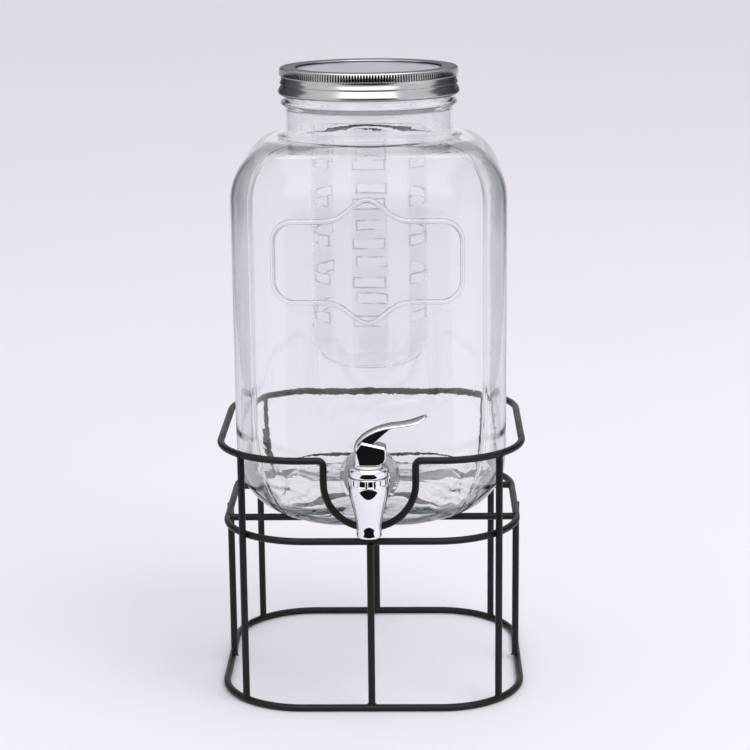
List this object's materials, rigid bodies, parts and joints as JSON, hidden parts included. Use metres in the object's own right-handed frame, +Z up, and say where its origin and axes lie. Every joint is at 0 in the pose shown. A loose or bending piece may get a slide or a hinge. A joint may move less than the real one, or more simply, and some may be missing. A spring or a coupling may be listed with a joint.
{
  "type": "glass beverage dispenser",
  "caption": "Square glass jar dispenser with a screw lid, hanging slotted infuser and swivelling lever tap, standing on a welded black wire stand.",
  "frame": {"origin": "on the floor under the jar's upright axis, at the middle of the stand's base ring", "axes": "+Z up, the tap faces -Y, +X to the right seen from the front"},
  "size_m": [0.198, 0.219, 0.401],
  "materials": {
    "black_wire": "satin black powder coat",
    "jar_glass": "clear pressed glass",
    "clear_plastic": "clear moulded",
    "lid_tin": "tinned steel",
    "grey_disc": "matte",
    "pale_seal": "matte",
    "tap_chrome": "polished",
    "clear_washer": "clear silicone",
    "white_plastic": "moulded",
    "dark_seal": "matte",
    "steel": "bright"
  },
  "bodies": {
    "stand": {"base_ring": "black_wire", "middle_ring": "black_wire", "top_ring": "black_wire", "crossbar_front": "black_wire", "crossbar_rear": "black_wire", "upright_front_left": "black_wire", "upright_front_right": "black_wire", "upright_back_left": "black_wire", "upright_back_right": "black_wire", "upright_front": "black_wire", "upright_back": "black_wire", "upright_left": "black_wire", "upright_right": "black_wire"},
    "jar": {"glass_jar": "jar_glass", "jar_neck": "jar_glass", "tap_body": "tap_chrome", "tap_bonnet": "tap_chrome", "outer_gasket": "clear_washer", "inner_gasket": "clear_washer", "lock_nut": "white_plastic"},
    "infuser": {"infuser_tube": "clear_plastic"},
    "lid": {"lid_disc": "grey_disc", "lid_seal": "pale_seal"},
    "band": {"lid_band": "lid_tin"},
    "swivel": {"cam_washer": "white_plastic"},
    "stem": {"valve_stem": "steel", "valve_seal": "dark_seal", "valve_spring": "steel"},
    "lever": {"lever": "tap_chrome", "lever_pin": "steel"}
  },
  "joints": [
    {"name": "jar_lift", "type": "slide", "parent": "stand", "child": "jar", "axis": [0, 0, 1], "range_m": [0, 0.2]},
    {"name": "infuser_lift", "type": "slide", "parent": "jar", "child": "infuser", "axis": [0, 0, 1], "range_m": [0, 0.25]},
    {"name": "lid_lift", "type": "slide", "parent": "infuser", "child": "lid", "axis": [0, 0, 1], "range_m": [0, 0.0181]},
    {"name": "lid_turn", "type": "hinge", "parent": "lid", "child": "band", "pos_m": [0, 0, 0.39], "axis": [0, 0, 1], "range_deg": [0, 1080]},
    {"name": "lever_swivel", "type": "hinge", "parent": "jar", "child": "swivel", "pos_m": [0, -0.113, 0.1684], "axis": [0, 0, 1], "range_deg": [-190, 10]},
    {"name": "stem_lift", "type": "slide", "parent": "swivel", "child": "stem", "axis": [0, 0, 1], "range_m": [0, 0.00363], "stiffness_N_per_m": 2000, "springref_m": -0.001, "deforming": ["valve_spring"]},
    {"name": "lever_tilt", "type": "hinge", "parent": "stem", "child": "lever", "pos_m": [0, -0.113, 0.1776], "axis": [0, 1, 0], "range_deg": [0, 40]}
  ],
  "couplings": [
    {"joint": "lid_lift", "follows": "lid_turn", "m_per_rad": 0.00095493},
    {"joint": "lever_tilt", "follows": "stem_lift", "rad_per_m": 192.31}
  ]
}
